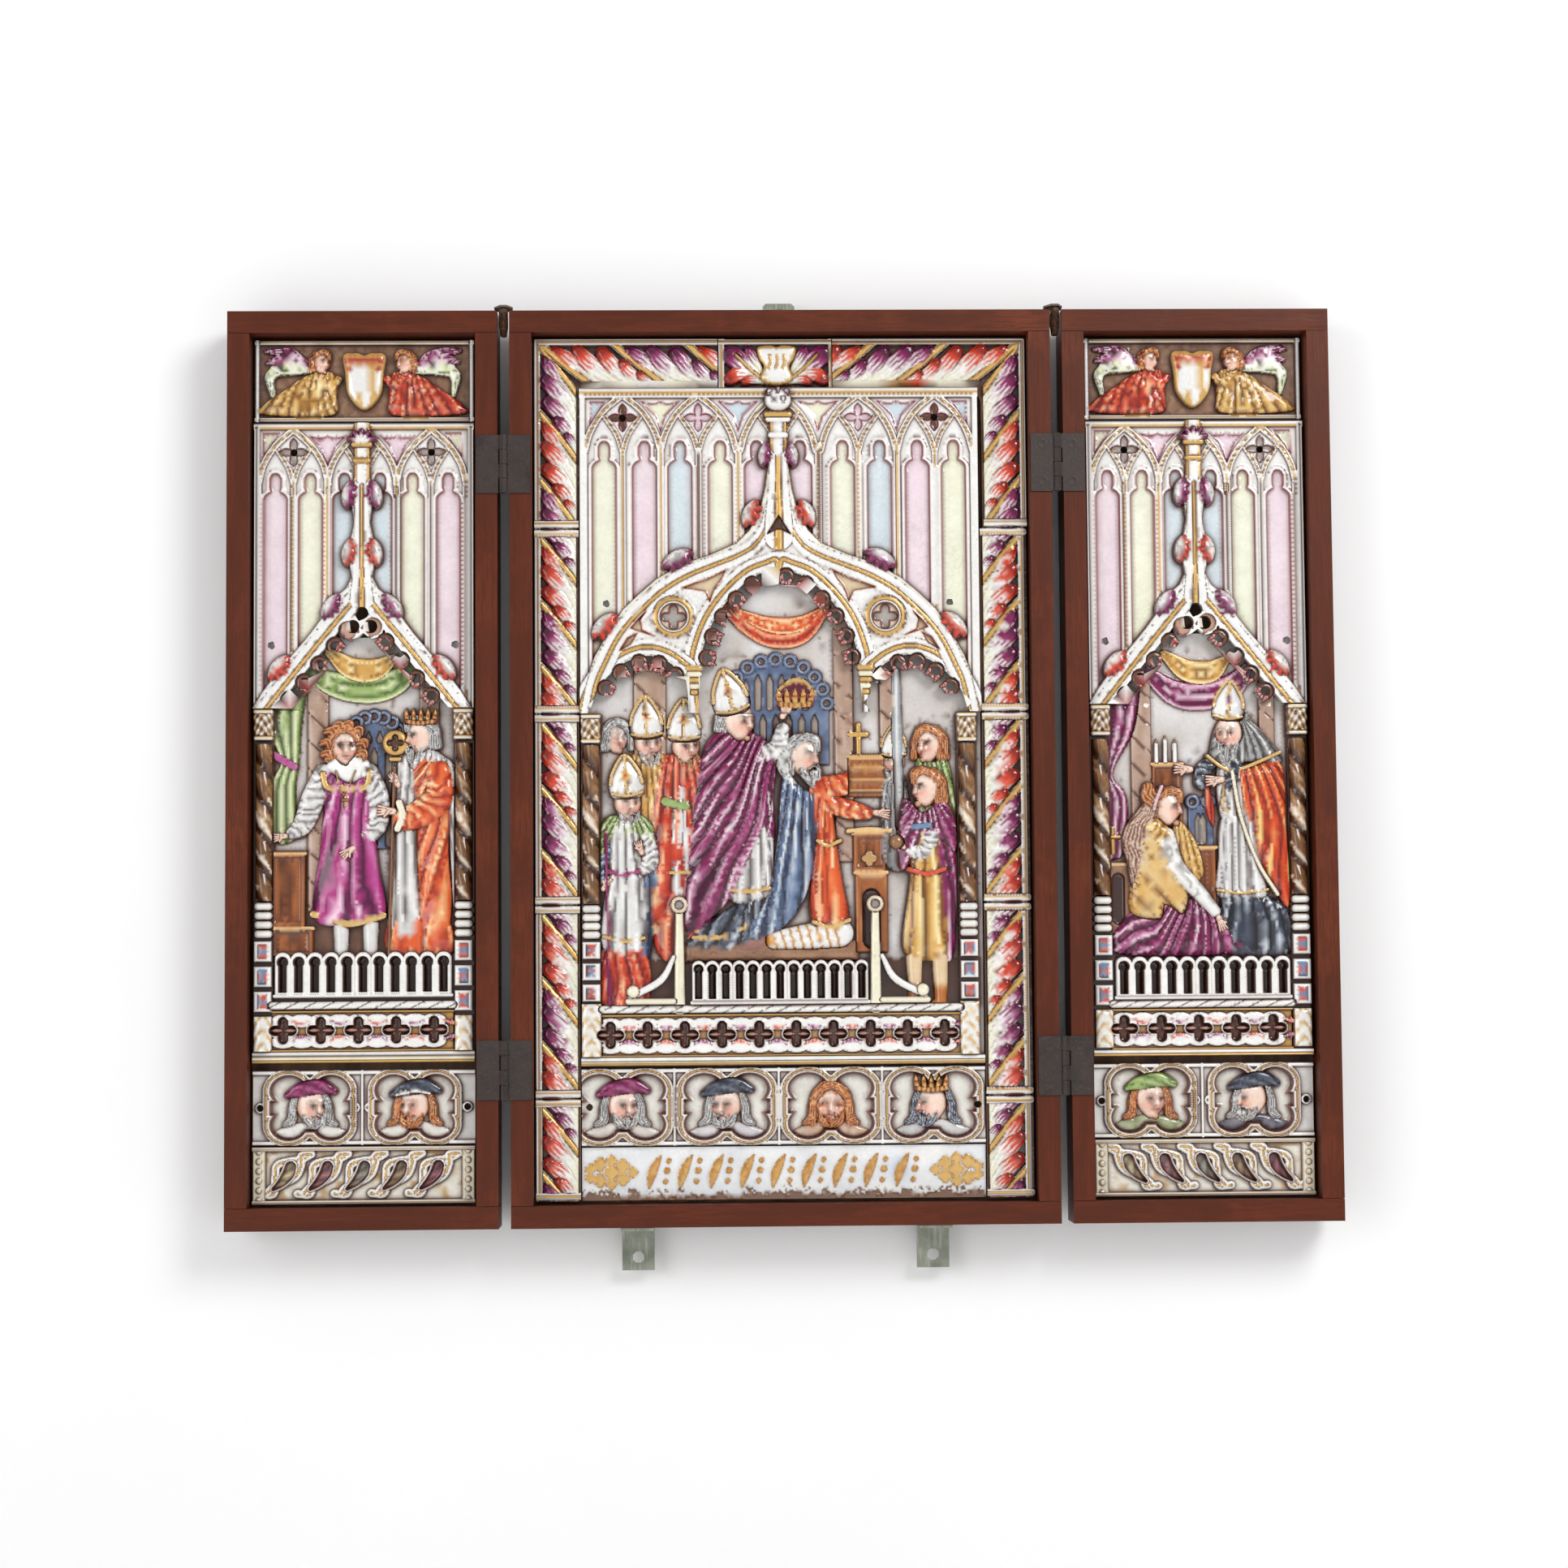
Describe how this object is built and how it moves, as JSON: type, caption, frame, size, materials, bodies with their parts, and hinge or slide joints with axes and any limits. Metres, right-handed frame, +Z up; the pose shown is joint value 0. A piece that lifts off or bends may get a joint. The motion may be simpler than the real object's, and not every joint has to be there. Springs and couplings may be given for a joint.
{
  "type": "triptych altarpiece",
  "caption": "Wall-hung triptych of hinged wooden frames filled with painted porcelain relief plaques; both wings fold over the centre",
  "frame": {"origin": "on the back of the top fixing plate, where the triptych hangs, in the middle of its width", "axes": "+Z up, +X along the open wings to the right seen from the front, -Y towards the viewer, +Y into the wall"},
  "size_m": [0.682, 0.0378, 0.6033],
  "materials": {
    "mahogany": "worn satin",
    "board": "raw dull",
    "porcelain": "painted glossy glaze",
    "iron": "dark, lightly rusted",
    "steel": "dull with bright edges",
    "cord": "waxed"
  },
  "bodies": {
    "centre": {"centre_top_rail": "mahogany", "centre_bottom_rail": "mahogany", "centre_left_stile": "mahogany", "centre_right_stile": "mahogany", "centre_back_board": "board", "left_upper_hinge_fixed_leaf": "iron", "left_upper_hinge_pin": "iron", "left_lower_hinge_fixed_leaf": "iron", "left_lower_hinge_pin": "iron", "left_cord_knot": "cord", "right_upper_hinge_fixed_leaf": "iron", "right_upper_hinge_pin": "iron", "right_lower_hinge_fixed_leaf": "iron", "right_lower_hinge_pin": "iron", "right_cord_knot": "cord", "top_fixing_plate": "steel", "bottom_left_fixing_plate": "steel", "bottom_right_fixing_plate": "steel", "border_top_left_corner": "porcelain", "border_top_middle": "porcelain", "border_top_right_corner": "porcelain", "border_left_1": "porcelain", "border_right_1": "porcelain", "border_left_2": "porcelain", "border_right_2": "porcelain", "border_left_3": "porcelain", "border_right_3": "porcelain", "border_left_4": "porcelain", "border_right_4": "porcelain", "centre_arch_plaque": "porcelain", "centre_scene_plaque": "porcelain", "centre_portrait_plaque": "porcelain", "centre_inscription_plaque": "porcelain"},
    "left_wing": {"left_wing_top_rail": "mahogany", "left_wing_bottom_rail": "mahogany", "left_wing_left_stile": "mahogany", "left_wing_right_stile": "mahogany", "left_wing_back_board": "board", "left_upper_hinge_moving_leaf": "iron", "left_lower_hinge_moving_leaf": "iron", "left_wing_angel_plaque": "porcelain", "left_wing_arch_plaque": "porcelain", "left_wing_scene_plaque": "porcelain", "left_wing_portrait_plaque": "porcelain", "left_wing_scroll_plaque": "porcelain"},
    "right_wing": {"right_wing_top_rail": "mahogany", "right_wing_bottom_rail": "mahogany", "right_wing_left_stile": "mahogany", "right_wing_right_stile": "mahogany", "right_wing_back_board": "board", "right_upper_hinge_moving_leaf": "iron", "right_lower_hinge_moving_leaf": "iron", "right_wing_angel_plaque": "porcelain", "right_wing_arch_plaque": "porcelain", "right_wing_scene_plaque": "porcelain", "right_wing_portrait_plaque": "porcelain", "right_wing_scroll_plaque": "porcelain"}
  },
  "joints": [
    {"name": "left_wing_fold", "type": "hinge", "parent": "centre", "child": "left_wing", "pos_m": [-0.17125, -0.0354, -0.276], "axis": [0, 0, 1], "range_deg": [0, 180]},
    {"name": "right_wing_fold", "type": "hinge", "parent": "centre", "child": "right_wing", "pos_m": [0.17125, -0.0354, -0.276], "axis": [0, 0, -1], "range_deg": [0, 180]}
  ]
}
